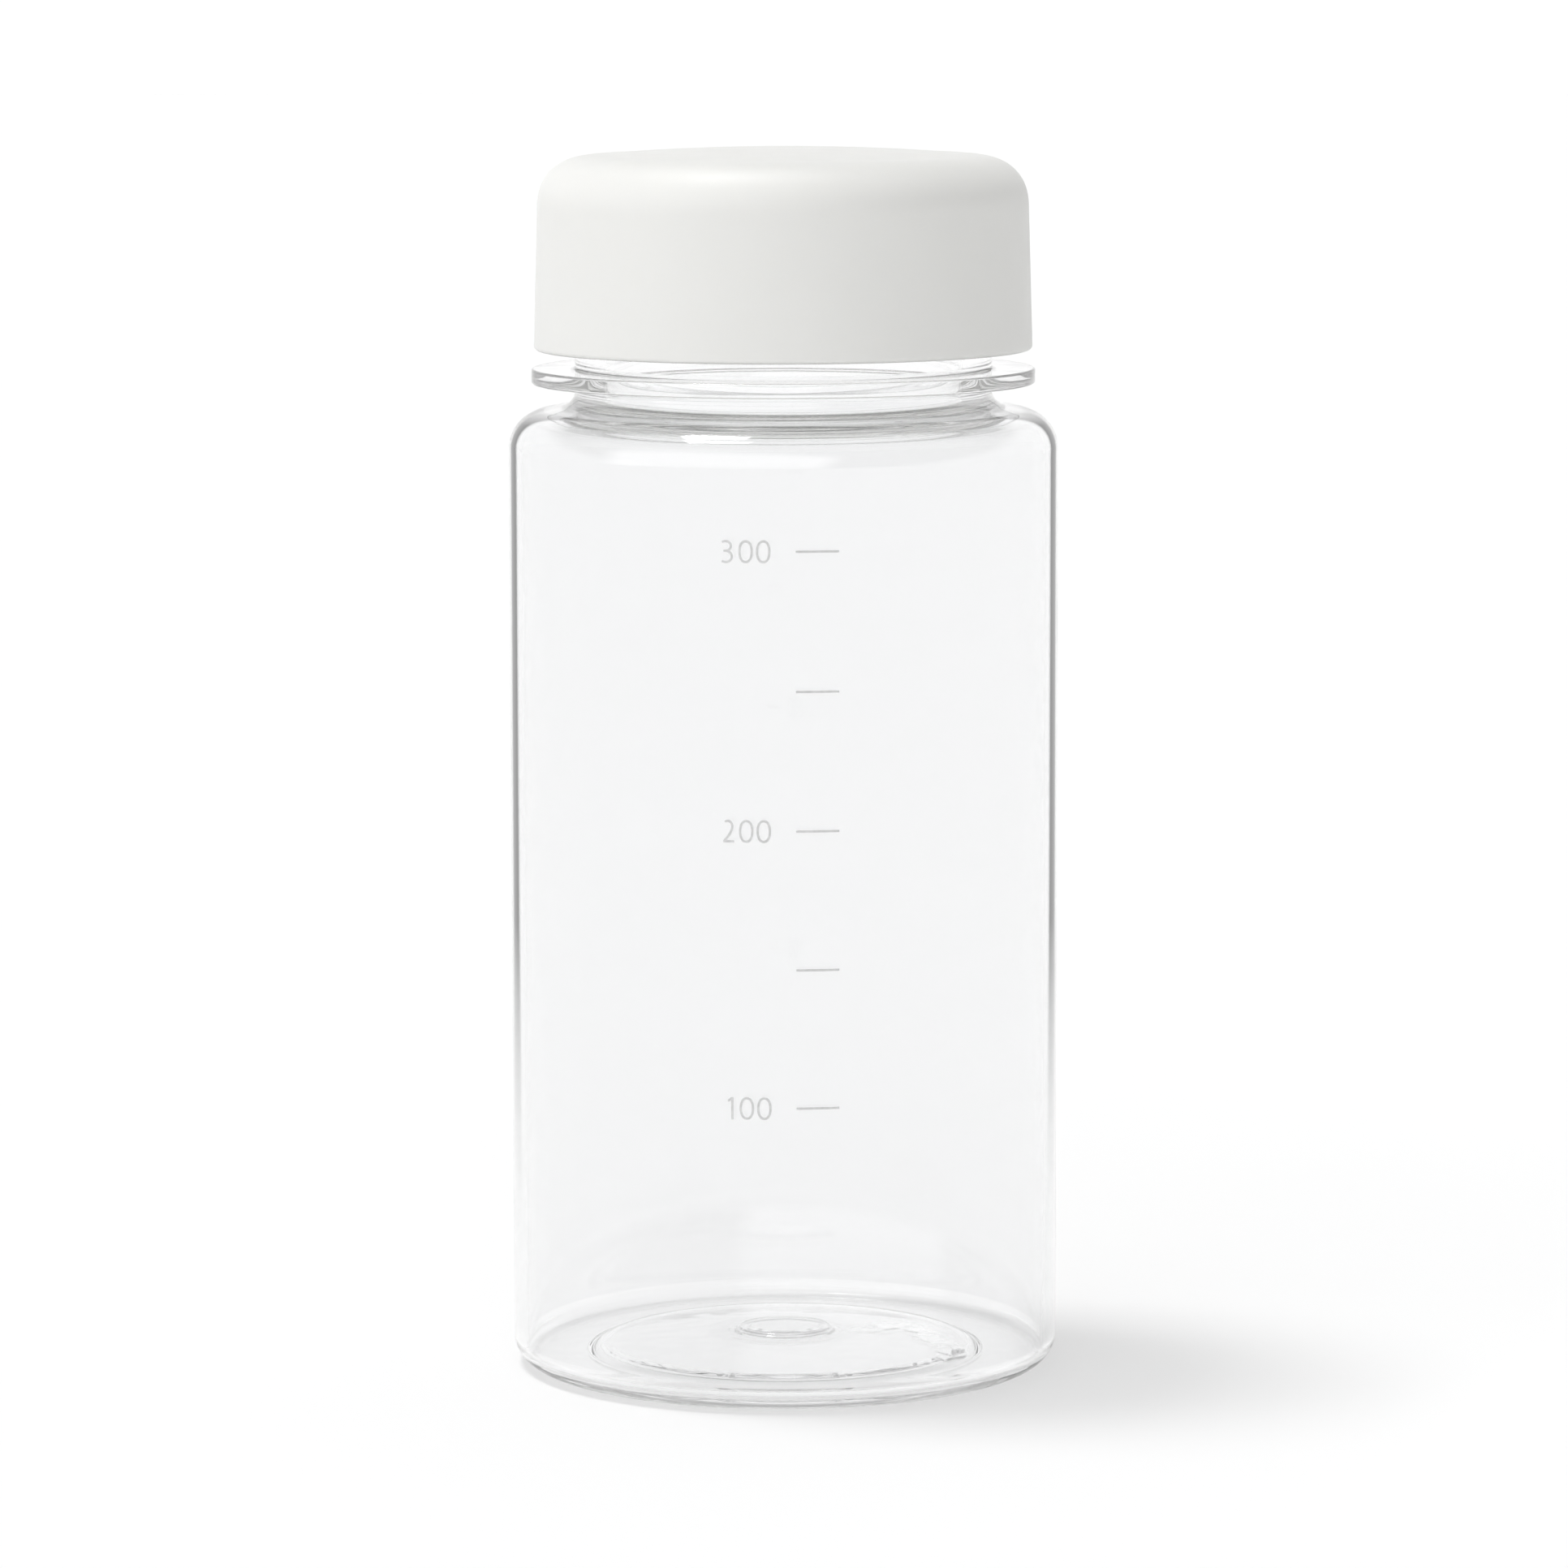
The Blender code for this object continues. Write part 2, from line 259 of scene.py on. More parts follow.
def with_support(points, distance, longest):
    """Adds points close to both ends of each long straight run, so that smooth shading stays flat on it."""
    result = []
    for a, b in zip(points, points[1:]):
        result.append(a)
        length = math.dist(a, b)
        if length > longest:
            for share in (distance / length, 1.0 - distance / length):
                result.append((a[0] + (b[0] - a[0]) * share, a[1] + (b[1] - a[1]) * share))
    result.append(points[-1])
    return result


def split_run(start, end, spacing):
    """Evenly spaced points from start to end, without the end."""
    count = max(1, round(math.dist(start, end) / spacing))
    points = []
    for i in range(count):
        share = i / count
        points.append((start[0] + (end[0] - start[0]) * share, start[1] + (end[1] - start[1]) * share))
    return points


def shoulder_line(wall_r, corner_r, corner_z, slope, neck_r, foot_fillet, above_z):
    """Shoulder from the neck down to the straight wall: a fillet, a sloping run, then a round corner."""
    corner = arc(wall_r - corner_r, corner_z, corner_r, 90.0 - math.degrees(slope), 0.0, 16)
    first_r, first_z = corner[0]
    foot_z = first_z + (first_r - neck_r) * math.tan(slope)
    foot = fillet((neck_r, above_z), (neck_r, foot_z), (first_r, first_z), foot_fillet, 10)
    return foot + corner


def dome(edge_z, top_z):
    """Low dome over the push-up with the gate's round step on top, from the axis out to its edge."""
    points = [(0.0, top_z + GATE_STEP)]
    for share in (0.35, 0.7):
        points.append((share * GATE_R, top_z + GATE_STEP))
    for i in range(7):
        share = i / 6
        eased = share * share * (3.0 - 2.0 * share)
        r = GATE_R + GATE_FLARE * (2.0 * share - 1.0)
        base = edge_z + (top_z - edge_z) * (1.0 - (r / PUSHUP_R) ** 2)
        points.append((r, base + (top_z + GATE_STEP - base) * (1.0 - eased)))
    start_r = GATE_R + GATE_FLARE
    for i in range(1, DOME_ROWS + 1):
        r = start_r + (PUSHUP_R - start_r) * i / DOME_ROWS
        points.append((r, edge_z + (top_z - edge_z) * (1.0 - (r / PUSHUP_R) ** 2)))
    return points


def bottle_inside_profile():
    """From the middle of the inner floor up to the mouth."""
    floor = dome(FLOOR_EDGE_Z, FLOOR_TOP_Z)
    floor.append((FOOT_INNER_R, FLOOR_Z))
    corner = arc(INNER_R - FLOOR_CORNER_R, FLOOR_Z + FLOOR_CORNER_R, FLOOR_CORNER_R, -90.0, 0.0, 16)
    shoulder = shoulder_line(
        INNER_R, INNER_SHOULDER_R, INNER_SHOULDER_Z, SHOULDER_SLOPE, MOUTH_R, INNER_FOOT_FILLET, MOUTH_Z
    )
    shoulder.reverse()
    wall = split_run(corner[-1], shoulder[0], WALL_ROWS)
    rim = arc(MOUTH_R + RIM_ROUND, MOUTH_Z - RIM_ROUND, RIM_ROUND, 180.0, 90.0, 6)
    return floor + corner + wall[1:] + shoulder + rim


def bottle_outside_profile():
    """From the mouth over the neck, support ring, shoulder and wall to the middle of the underside."""
    rim = arc(NECK_R - RIM_ROUND, MOUTH_Z - RIM_ROUND, RIM_ROUND, 90.0, 0.0, 6)
    neck_top = (NECK_R, MOUTH_Z - RIM_ROUND - RIM_RUN)
    thread_foot = (NECK_R, NECK_RIDGE_Z - RIDGE_ROOT_W)
    thread = split_run(neck_top, thread_foot, RIDGE_ROWS)
    ring_top = fillet((NECK_R, MOUTH_Z), (NECK_R, RING_TOP_Z), (RING_R, RING_TOP_Z), RING_FILLET, 5)
    ring_edge = arc(RING_R - RING_ROUND, RING_TOP_Z - RING_ROUND, RING_ROUND, 90.0, 0.0, 6)
    ring_edge += arc(RING_R - RING_ROUND, RING_BOTTOM_Z + RING_ROUND, RING_ROUND, 0.0, -90.0, 6)
    ring_under = fillet((RING_R, RING_BOTTOM_Z), (NECK_R, RING_BOTTOM_Z), (NECK_R, 0.0), RING_FILLET, 5)
    shoulder = shoulder_line(
        BODY_R, SHOULDER_R, SHOULDER_Z, SHOULDER_SLOPE, NECK_R, NECK_FOOT_FILLET, RING_BOTTOM_Z
    )
    base_corner = arc(BODY_R - BASE_CORNER_R, BASE_CORNER_R, BASE_CORNER_R, 0.0, -90.0, 14)
    foot = [
        (FOOT_INNER_R, 0.0),
        (FOOT_INNER_R - 0.5 * FOOT_ROUND, FOOT_EASE_Z),
        (FOOT_INNER_R - FOOT_ROUND, 0.5 * FOOT_ROUND),
    ]
    under = dome(PUSHUP_EDGE_Z, PUSHUP_TOP_Z)
    under.reverse()
    neck = rim + thread + [thread_foot]
    return neck + ring_top + ring_edge + ring_under + shoulder + base_corner + foot + under


def shell_profile():
    """Closed outline of the cap shell, from the crown down the outside and back up the inside."""
    crown = []
    edge_r = CAP_TOP_R - CAP_EDGE_W
    for i in range(16):
        share = i / 16
        crown.append((edge_r * share, CAP_TOP_EDGE_Z + (CAP_TOP_Z - CAP_TOP_EDGE_Z) * (1.0 - share ** 2)))
    edge = []
    for i in range(37):
        angle = math.radians(90.0 * (1.0 - i / 36))
        across = max(math.cos(angle), 0.0) ** (2.0 / CAP_EDGE_POWER)
        up = max(math.sin(angle), 0.0) ** (2.0 / CAP_EDGE_POWER)
        edge.append((edge_r + CAP_EDGE_W * across, CAP_TOP_EDGE_Z - CAP_EDGE_H + CAP_EDGE_H * up))
    rim = arc(CAP_RIM_R - CAP_RIM_ROUND, CAP_RIM_Z + CAP_RIM_ROUND, CAP_RIM_ROUND, 0.0, -90.0, 8)
    inner_foot = (SHELL_INNER_R, CAP_RIM_Z)
    inside = fillet((CAP_RIM_R, CAP_RIM_Z), inner_foot, (SHELL_INNER_R, CAP_TOP_Z), SMALL_EDGE, 5)
    corner_r = SHELL_INNER_R - SHELL_INNER_EDGE
    corner = arc(corner_r, SHELL_ROOF_Z - SHELL_INNER_EDGE, SHELL_INNER_EDGE, 0.0, 90.0, 10)
    return crown + edge + rim + inside + corner + [(0.0, SHELL_ROOF_Z)]


def insert_profile():
    """Closed outline of the cap insert: top, skirt, bore, roof and the plug ring that enters the mouth."""
    top = [(0.0, INSERT_TOP_Z)]
    top += arc(INSERT_R - INSERT_TOP_EDGE, INSERT_TOP_Z - INSERT_TOP_EDGE, INSERT_TOP_EDGE, 90.0, 0.0, 10)
    below = (INSERT_R, INSERT_BOTTOM_Z)
    mouth = (INSERT_BORE_R, INSERT_BOTTOM_Z)
    skirt = fillet((INSERT_R, INSERT_TOP_Z), below, mouth, SMALL_EDGE, 5)
    skirt += fillet(below, mouth, (INSERT_BORE_R, INSERT_ROOF_Z), SMALL_EDGE, 5)
    ridge_top = (INSERT_BORE_R, CAP_RIDGE_Z + LEAD * CAP_RIDGE_SWEEP / TAU + RIDGE_ROOT_W)
    bore = split_run(skirt[-1], ridge_top, RIDGE_ROWS)[1:] + [ridge_top]
    roof = fillet(ridge_top, (INSERT_BORE_R, INSERT_ROOF_Z), (PLUG_R, INSERT_ROOF_Z), SMALL_EDGE, 5)
    plug = [(PLUG_R, INSERT_ROOF_Z), (PLUG_R, PLUG_BOTTOM_Z + PLUG_LEAD_IN)]
    plug += [(PLUG_R - PLUG_LEAD_IN, PLUG_BOTTOM_Z), (PLUG_INNER_R + SMALL_EDGE, PLUG_BOTTOM_Z)]
    plug += [(PLUG_INNER_R, PLUG_BOTTOM_Z + SMALL_EDGE), (PLUG_INNER_R, INSERT_ROOF_Z)]
    return top + skirt + bore + roof + plug + [(0.0, INSERT_ROOF_Z)]


def seal_profile():
    """Closed loop of the sealing ring's section."""
    middle_r = SEAL_R - SEAL_ROUND
    inner_r = SEAL_INNER_R + SEAL_ROUND
    outer = arc(middle_r, SEAL_TOP_Z - SEAL_ROUND, SEAL_ROUND, 90.0, 0.0, 5)
    outer += arc(middle_r, SEAL_BOTTOM_Z + SEAL_ROUND, SEAL_ROUND, 0.0, -90.0, 5)
    inner = arc(inner_r, SEAL_BOTTOM_Z + SEAL_ROUND, SEAL_ROUND, -90.0, -180.0, 5)
    inner += arc(inner_r, SEAL_TOP_Z - SEAL_ROUND, SEAL_ROUND, 180.0, 90.0, 5)
    return outer + inner


# ---------------------------------------------------------------------------------------------
# Meshes
# ---------------------------------------------------------------------------------------------
def smoothstep(value):
    value = min(max(value, 0.0), 1.0)
    return value * value * (3.0 - 2.0 * value)


def ridge_height(angle, z, start_z, sweep, phase):
    """Height of the thread's ridges above their wall at one point of it."""
    highest = 0.0
    for start in range(STARTS):
        along = (angle - phase - TAU * start / STARTS) % TAU
        if along > sweep:
            continue
        away = abs(z - start_z - LEAD * along / TAU)
        flank = (0.5 * RIDGE_ROOT_W - away) / (0.5 * (RIDGE_ROOT_W - RIDGE_CREST_W))
        fade = min(1.0, along / RIDGE_FADE, (sweep - along) / RIDGE_FADE)
        highest = max(highest, RIDGE_H * smoothstep(flank) * smoothstep(fade))
    return highest


def mark_height(x, y):
    """Height of the flow mark on the inner floor: an uneven bead along a short path."""
    highest = 0.0
    reached = 0.0
    for start, end in zip(MARK_PATH, MARK_PATH[1:]):
        a, b = Vector(start) * MM, Vector(end) * MM
        along = min(max((Vector((x, y)) - a).dot(b - a) / (b - a).length_squared, 0.0), 1.0)
        away = (Vector((x, y)) - a.lerp(b, along)).length
        travelled = (reached + along * (b - a).length) / MM
        unevenness = 0.72 + 0.16 * math.sin(0.9 * travelled) + 0.12 * math.sin(2.3 * travelled)
        highest = max(highest, MARK_H * unevenness * math.exp(-(away / MARK_W) ** 2))
        reached += (b - a).length
    return highest


def revolve(name, points, closed=False, reshape=None):
    """Surface of revolution. reshape(index, r, z, angle) gives a profile point's own radius and height."""
    bm = bmesh.new()
    rings = []
    for index, (r, z) in enumerate(points):
        if r < 1e-7:
            rings.append([bm.verts.new((0.0, 0.0, z))])
            continue
        ring = []
        for i in range(SEGMENTS):
            angle = TAU * i / SEGMENTS
            radius, height = reshape(index, r, z, angle) if reshape else (r, z)
            ring.append(bm.verts.new((radius * math.cos(angle), radius * math.sin(angle), height)))
        rings.append(ring)
    pairs = list(zip(rings, rings[1:]))
    if closed:
        pairs.append((rings[-1], rings[0]))
    for a, b in pairs:
        for i in range(SEGMENTS):
            j = (i + 1) % SEGMENTS
            if len(a) == 1:
                bm.faces.new((a[0], b[i], b[j]))
            elif len(b) == 1:
                bm.faces.new((a[i], b[0], a[j]))
            else:
                bm.faces.new((a[i], b[i], b[j], a[j]))
    bmesh.ops.recalc_face_normals(bm, faces=bm.faces)
    mesh = bpy.data.meshes.new(name)
    bm.to_mesh(mesh)
    bm.free()
    mesh.shade_smooth()
    obj = bpy.data.objects.new(name, mesh)
    bpy.context.scene.collection.objects.link(obj)
    return obj


def bottle_piece(plain, wall):
    """The clear body, with the thread on its neck and a painted dark edge shade on the plastic of its outer
    wall.
    """
    inside = with_support(bottle_inside_profile(), distance=0.12 * MM, longest=1.5 * MM)
    outside = with_support(bottle_outside_profile(), distance=0.12 * MM, longest=1.5 * MM)
    inside_count = len(inside)
    floor_limit = FLOOR_TOP_Z + 2.0 * GATE_STEP  # above the whole floor, and far below the mouth

    def reshape(index, r, z, angle):
        on_neck = index >= inside_count and abs(r - NECK_R) < 1e-7 and z > NECK_RIDGE_Z - RIDGE_ROOT_W
        if on_neck:
            r += ridge_height(angle, z, NECK_RIDGE_Z, NECK_RIDGE_SWEEP, THREAD_PHASE)
        on_floor = index < inside_count and r < PUSHUP_R and z < floor_limit
        if on_floor:
            z += mark_height(r * math.cos(angle), r * math.sin(angle))
        return r, z

    body = revolve("bottle_clear_body", inside + outside, reshape=reshape)
    body.data.materials.append(plain)
    body.data.materials.append(wall)
    for face in body.data.polygons:
        centre, normal = face.center, face.normal
        outward = normal.x * centre.x + normal.y * centre.y > 0.0 or normal.z > 0.0
        if outward and BASE_CORNER_R < centre.z < RING_BOTTOM_Z - RING_FILLET:
            face.material_index = 1
    return body


def shell_piece(material):
    shell = revolve("cap_outer_shell", with_support(shell_profile(), distance=0.15 * MM, longest=1.5 * MM))
    shell.data.materials.append(material)
    return shell


def insert_piece(material):
    cap_rise = CAP_RIDGE_Z + SEAT_DROP - NECK_RIDGE_Z
    phase = THREAD_PHASE + TAU * cap_rise / LEAD

    def reshape(index, r, z, angle):
        if abs(r - INSERT_BORE_R) < 1e-7:
            r -= ridge_height(angle, z, CAP_RIDGE_Z, CAP_RIDGE_SWEEP, phase)
        return r, z

    profile = with_support(insert_profile(), distance=0.12 * MM, longest=1.2 * MM)
    insert = revolve("cap_threaded_insert", profile, reshape=reshape)
    insert.data.materials.append(material)
    return insert


def seal_piece(material):
    seal = revolve("silicone_seal_ring", seal_profile(), closed=True)
    seal.data.materials.append(material)
    return seal


# ---------------------------------------------------------------------------------------------
# Printed scale
# ---------------------------------------------------------------------------------------------
def oval(centre_x, centre_y, half_w, half_h, start_deg, end_deg, count, power=2.0):
    """Points on an oval, or a squarer one where power is above 2."""
    points = []
    for i in range(count + 1):
        angle = math.radians(start_deg + (end_deg - start_deg) * i / count)
        c, s = math.cos(angle), math.sin(angle)
        x = math.copysign(abs(c) ** (2.0 / power), c)
        y = math.copysign(abs(s) ** (2.0 / power), s)
        points.append((centre_x + half_w * x, centre_y + half_h * y))
    return points


def digit_strokes(digit):
    """Centre lines of a digit's strokes, in a box from (0, 0) to (1, 1), as (points, closed)."""
    if digit == "0":
        return [(oval(0.5, 0.5, 0.41, 0.445, 0.0, 352.5, 47, 2.25), True)]
    if digit == "1":
        return [([(0.39, 0.80), (0.53, 0.87), (0.65, 0.945)], False), ([(0.69, 0.97), (0.69, 0.0)], False)]
    if digit == "2":
        hook = oval(0.43, 0.70, 0.31, 0.245, 128.0, -28.0, 22)
        foot = [(0.60, 0.42), (0.42, 0.25), (0.16, 0.06)]
        return [(hook + foot, False), ([(0.12, 0.055), (0.86, 0.055)], False)]
    upper = oval(0.33, 0.735, 0.36, 0.21, 132.0, -90.0, 22)
    lower = oval(0.33, 0.285, 0.42, 0.24, 90.0, -128.0, 24)
    return [(upper, False), ([(0.18, 0.525), (0.33, 0.525)], False), (lower, False)]


def add_ribbon(bm, points, closed, thickness, layer=0.0):
    """Flat ribbon of one thickness along a centre line, as quads in the plane of the label."""
    count = len(points)
    sides = []
    for i, point in enumerate(points):
        before = points[i - 1] if closed or i else point
        after = points[(i + 1) % count] if closed or i < count - 1 else point
        along = Vector((after[0] - before[0], after[1] - before[1])).normalized()
        across = Vector((-along.y, along.x)) * (0.5 * thickness)
        left = bm.verts.new((point[0] + across.x, point[1] + across.y, layer))
        right = bm.verts.new((point[0] - across.x, point[1] - across.y, layer))
        sides.append((left, right))
    following = sides[1:] + sides[:1] if closed else sides[1:]
    for (left, right), (next_left, next_right) in zip(sides, following):
        bm.faces.new((left, right, next_right, next_left))


def refined(points, spacing):
    """The same line with no step longer than spacing."""
    result = []
    for a, b in zip(points, points[1:]):
        result += split_run(a, b, spacing)
    result.append(points[-1])
    return result


def lowest_first(indices):
    """The same face, written from its lowest corner on."""
    start = indices.index(min(indices))
    return indices[start:] + indices[:start]


def wrap_ink(name, bm, centre_z, material):
    """Bends a flat label round the wall and gives it the ink's thickness.

    A point's z in the flat label is how much lower the ink's surface lies there.
    """
    faces = list(bm.faces)
    inner_r = BODY_R + INK_GAP
    outer_r = BODY_R + INK_PROUD
    made = bmesh.ops.extrude_face_region(bm, geom=faces)
    raised = {v for v in made["geom"] if isinstance(v, bmesh.types.BMVert)}
    for vert in bm.verts:
        radius = outer_r - vert.co.z if vert in raised else inner_r
        angle = vert.co.x / BODY_R
        height = vert.co.y
        vert.co = Vector((radius * math.sin(angle), -radius * math.cos(angle), centre_z + height))
    bmesh.ops.recalc_face_normals(bm, faces=bm.faces)
    bm.verts.index_update()
    corners = [vert.co.copy() for vert in bm.verts]
    # The extrusion gives its faces in no fixed order, so they are sorted to be the same each run.
    outlines = sorted(lowest_first([vert.index for vert in face.verts]) for face in bm.faces)
    bm.free()
    mesh = bpy.data.meshes.new(name)
    mesh.from_pydata(corners, [], outlines)
    obj = bpy.data.objects.new(name, mesh)
    bpy.context.scene.collection.objects.link(obj)
    obj.data.materials.append(material)
    return obj


def tick_piece(index, material):
    bm = bmesh.new()
    line = refined([(TICK_LEFT, 0.0), (TICK_RIGHT, 0.0)], INK_STEP)
    add_ribbon(bm, line, False, TICK_THICK)
    return wrap_ink(f"scale_mark_{index}", bm, SCALE_FIRST_Z + index * SCALE_STEP, material)


def digit_piece(name, digit, centre_x, centre_z, material):
    """One printed digit. Each stroke is its own closed strip, and no two strokes have the same height."""
    bm = bmesh.new()
    width = DIGIT_W
    for stroke, (points, closed) in enumerate(digit_strokes(digit)):
        placed = [(centre_x + (x - 0.5) * width, (y - 0.5) * DIGIT_H) for x, y in points]
        if not closed:
            placed = refined(placed, INK_STEP)
        add_ribbon(bm, placed, closed, DIGIT_STROKE, stroke * INK_LAYER)
    return wrap_ink(name, bm, centre_z, material)


def scale_pieces(material):
    made = []
    for index in range(SCALE_COUNT):
        made.append(tick_piece(index, material))
        label = SCALE_LABELS.get(index, "")
        for place, digit in enumerate(label):
            centre_x = DIGIT_LAST_X - DIGIT_PITCH * (len(label) - 1 - place)
            name = f"scale_number_{label}_digit_{place + 1}"
            made.append(digit_piece(name, digit, centre_x, SCALE_FIRST_Z + index * SCALE_STEP, material))
    return made


# ---------------------------------------------------------------------------------------------
# Materials
# ---------------------------------------------------------------------------------------------
def new_material(name):
    material = bpy.data.materials.new(name)
    material.use_nodes = True
    nodes = material.node_tree.nodes
    return material, nodes, material.node_tree.links, nodes["Principled BSDF"]


def noise_node(nodes, links, scale, detail, roughness=0.5, stretch=(1.0, 1.0, 1.0)):
    """Noise in the object's own metres."""
    coordinates = nodes.new("ShaderNodeTexCoord")
    mapping = nodes.new("ShaderNodeMapping")
    mapping.inputs["Scale"].default_value = stretch
    links.new(coordinates.outputs["Object"], mapping.inputs["Vector"])
    noise = nodes.new("ShaderNodeTexNoise")
    noise.inputs["Scale"].default_value = scale
    noise.inputs["Detail"].default_value = detail
    noise.inputs["Roughness"].default_value = roughness
    links.new(mapping.outputs["Vector"], noise.inputs["Vector"])
    return noise


def map_range(nodes, links, source, low, high, to_low, to_high, interpolation="LINEAR"):
    node = nodes.new("ShaderNodeMapRange")
    node.interpolation_type = interpolation
    node.inputs["From Min"].default_value = low
    node.inputs["From Max"].default_value = high
    node.inputs["To Min"].default_value = to_low
    node.inputs["To Max"].default_value = to_high
    links.new(source, node.inputs["Value"])
    return node.outputs["Result"]


def math_node(nodes, links, operation, first, second):
    node = nodes.new("ShaderNodeMath")
    node.operation = operation
    for socket, value in zip(node.inputs, (first, second)):
        if isinstance(value, (int, float)):
            socket.default_value = value
        else:
            links.new(value, socket)
    return node.outputs["Value"]


def dot_node(nodes, links, source, direction):
    node = nodes.new("ShaderNodeVectorMath")
    node.operation = "DOT_PRODUCT"
    links.new(source, node.inputs[0])
    node.inputs[1].default_value = direction
    return node.outputs["Value"]


def smooth_range(nodes, links, source, low, high, to_low, to_high):
    return map_range(nodes, links, source, low, high, to_low, to_high, "SMOOTHSTEP")


def colour_between(nodes, links, factor, first, second):
    mix = nodes.new("ShaderNodeMix")
    mix.data_type = "RGBA"
    mix.inputs["A"].default_value = (*first, 1.0)
    mix.inputs["B"].default_value = (*second, 1.0)
    links.new(factor, mix.inputs["Factor"])
    return mix.outputs["Result"]


def add_bump(nodes, links, shader, height, distance, strength):
    bump = nodes.new("ShaderNodeBump")
    bump.inputs["Distance"].default_value = distance
    bump.inputs["Strength"].default_value = strength
    links.new(height, bump.inputs["Height"])
    links.new(bump.outputs["Normal"], shader.inputs["Normal"])


def clear_plastic(name, tint):
    """Clear copolyester with the faint unevenness of a blown wall."""
    material, nodes, links, shader = new_material(name)
    shader.inputs["Base Color"].default_value = (*tint, 1.0)
    shader.inputs["Transmission Weight"].default_value = 1.0
    shader.inputs["IOR"].default_value = CLEAR_IOR
    shader.inputs["Roughness"].default_value = 0.0
    ripple = noise_node(nodes, links, scale=90.0, detail=2.0, stretch=(1.0, 1.0, 0.35))
    add_bump(nodes, links, shader, ripple.outputs["Fac"], RIPPLE, 1.0)
    return material


def painted_edge_wall_plastic():
    """The same plastic with painted shade: darker in a band where the wall is seen on edge.

    A clear wall shows whatever stands beside it there. This studio is pale all round, so the band paints
    into the wall's colour the dark reflection of a surround that gives such a bottle its outline.
    """
    material = clear_plastic("clear_wall_plastic_painted_edge", WALL_TINT)
    nodes, links = material.node_tree.nodes, material.node_tree.links
    weight = nodes.new("ShaderNodeLayerWeight")
    weight.inputs["Blend"].default_value = 0.5
    facing = weight.outputs["Facing"]
    rising = smooth_range(nodes, links, facing, EDGE_START, EDGE_FULL, 0.0, 1.0)
    falling = smooth_range(nodes, links, facing, EDGE_FADE, EDGE_END, 1.0, EDGE_RIM)
    coordinates = nodes.new("ShaderNodeTexCoord")
    split = nodes.new("ShaderNodeSeparateXYZ")
    links.new(coordinates.outputs["Object"], split.inputs["Vector"])
    above = smooth_range(nodes, links, split.outputs["Z"], EDGE_LOW_Z, EDGE_HIGH_Z, 0.0, 1.0)
    below = smooth_range(nodes, links, split.outputs["Z"], EDGE_STOP_Z, EDGE_GONE_Z, 1.0, 0.0)
    dark = math_node(nodes, links, "MULTIPLY", rising, falling)
    for share in (above, below):
        dark = math_node(nodes, links, "MULTIPLY", dark, share)
    # Painted shade: the wall's colour goes dark in the edge band.
    colour = colour_between(nodes, links, dark, WALL_TINT, PAINTED_EDGE_SHADE)
    links.new(colour, nodes["Principled BSDF"].inputs["Base Color"])
    return material


def white_plastic(name, colour, roughness, grain, glow=0.0):
    """Moulded polypropylene with a fine satin grain. glow is painted light that it gives off by itself,
    though it is no lamp.
    """
    material, nodes, links, shader = new_material(name)
    tone = noise_node(nodes, links, scale=55.0, detail=3.0)
    darker = tuple(0.975 * c for c in colour)
    links.new(colour_between(nodes, links, tone.outputs["Fac"], darker, colour), shader.inputs["Base Color"])
    gloss = noise_node(nodes, links, scale=260.0, detail=4.0)
    spread = map_range(nodes, links, gloss.outputs["Fac"], 0.3, 0.7, roughness - 0.04, roughness + 0.05)
    links.new(spread, shader.inputs["Roughness"])
    texture = noise_node(nodes, links, scale=3200.0, detail=3.0, roughness=0.6)
    add_bump(nodes, links, shader, texture.outputs["Fac"], GRAIN_HEIGHT, grain)
    shader.inputs["IOR"].default_value = 1.49
    shader.inputs["Subsurface Weight"].default_value = PLASTIC_SCATTER
    shader.inputs["Subsurface Radius"].default_value = (1.0, 0.97, 0.92)
    shader.inputs["Subsurface Scale"].default_value = PLASTIC_SCATTER_DEPTH
    # Emission is painted light: with glow above zero the part glows though it is no lamp.
    shader.inputs["Emission Color"].default_value = (1.0, 1.0, 0.98, 1.0)
    shader.inputs["Emission Strength"].default_value = glow
    return material


def silicone():
    """Milky translucent silicone rubber with a slightly dusty surface."""
    material, nodes, links, shader = new_material("milky_silicone")
    dust = noise_node(nodes, links, scale=420.0, detail=5.0)
    colour = colour_between(nodes, links, dust.outputs["Fac"], *SILICONE_COLOURS)
    links.new(colour, shader.inputs["Base Color"])
    links.new(map_range(nodes, links, dust.outputs["Fac"], 0.3, 0.7, 0.30, 0.48), shader.inputs["Roughness"])
    shader.inputs["IOR"].default_value = 1.41
    shader.inputs["Subsurface Weight"].default_value = 0.6
    shader.inputs["Subsurface Radius"].default_value = (1.0, 1.0, 1.0)
    shader.inputs["Subsurface Scale"].default_value = 1.5 * MM
    add_bump(nodes, links, shader, dust.outputs["Fac"], GRAIN_HEIGHT, 0.3)
    return material


def ink():
    """Pale grey screen-printed ink, thinner in places."""
    material, nodes, links, shader = new_material("pale_grey_ink")
    speckle = noise_node(nodes, links, scale=2600.0, detail=3.0)
    factor = map_range(nodes, links, speckle.outputs["Fac"], 0.35, 0.65, 0.0, 1.0)
    links.new(colour_between(nodes, links, factor, *INK_COLOURS), shader.inputs["Base Color"])
    roughness = map_range(nodes, links, speckle.outputs["Fac"], 0.3, 0.7, 0.45, 0.65)
    links.new(roughness, shader.inputs["Roughness"])
    return material


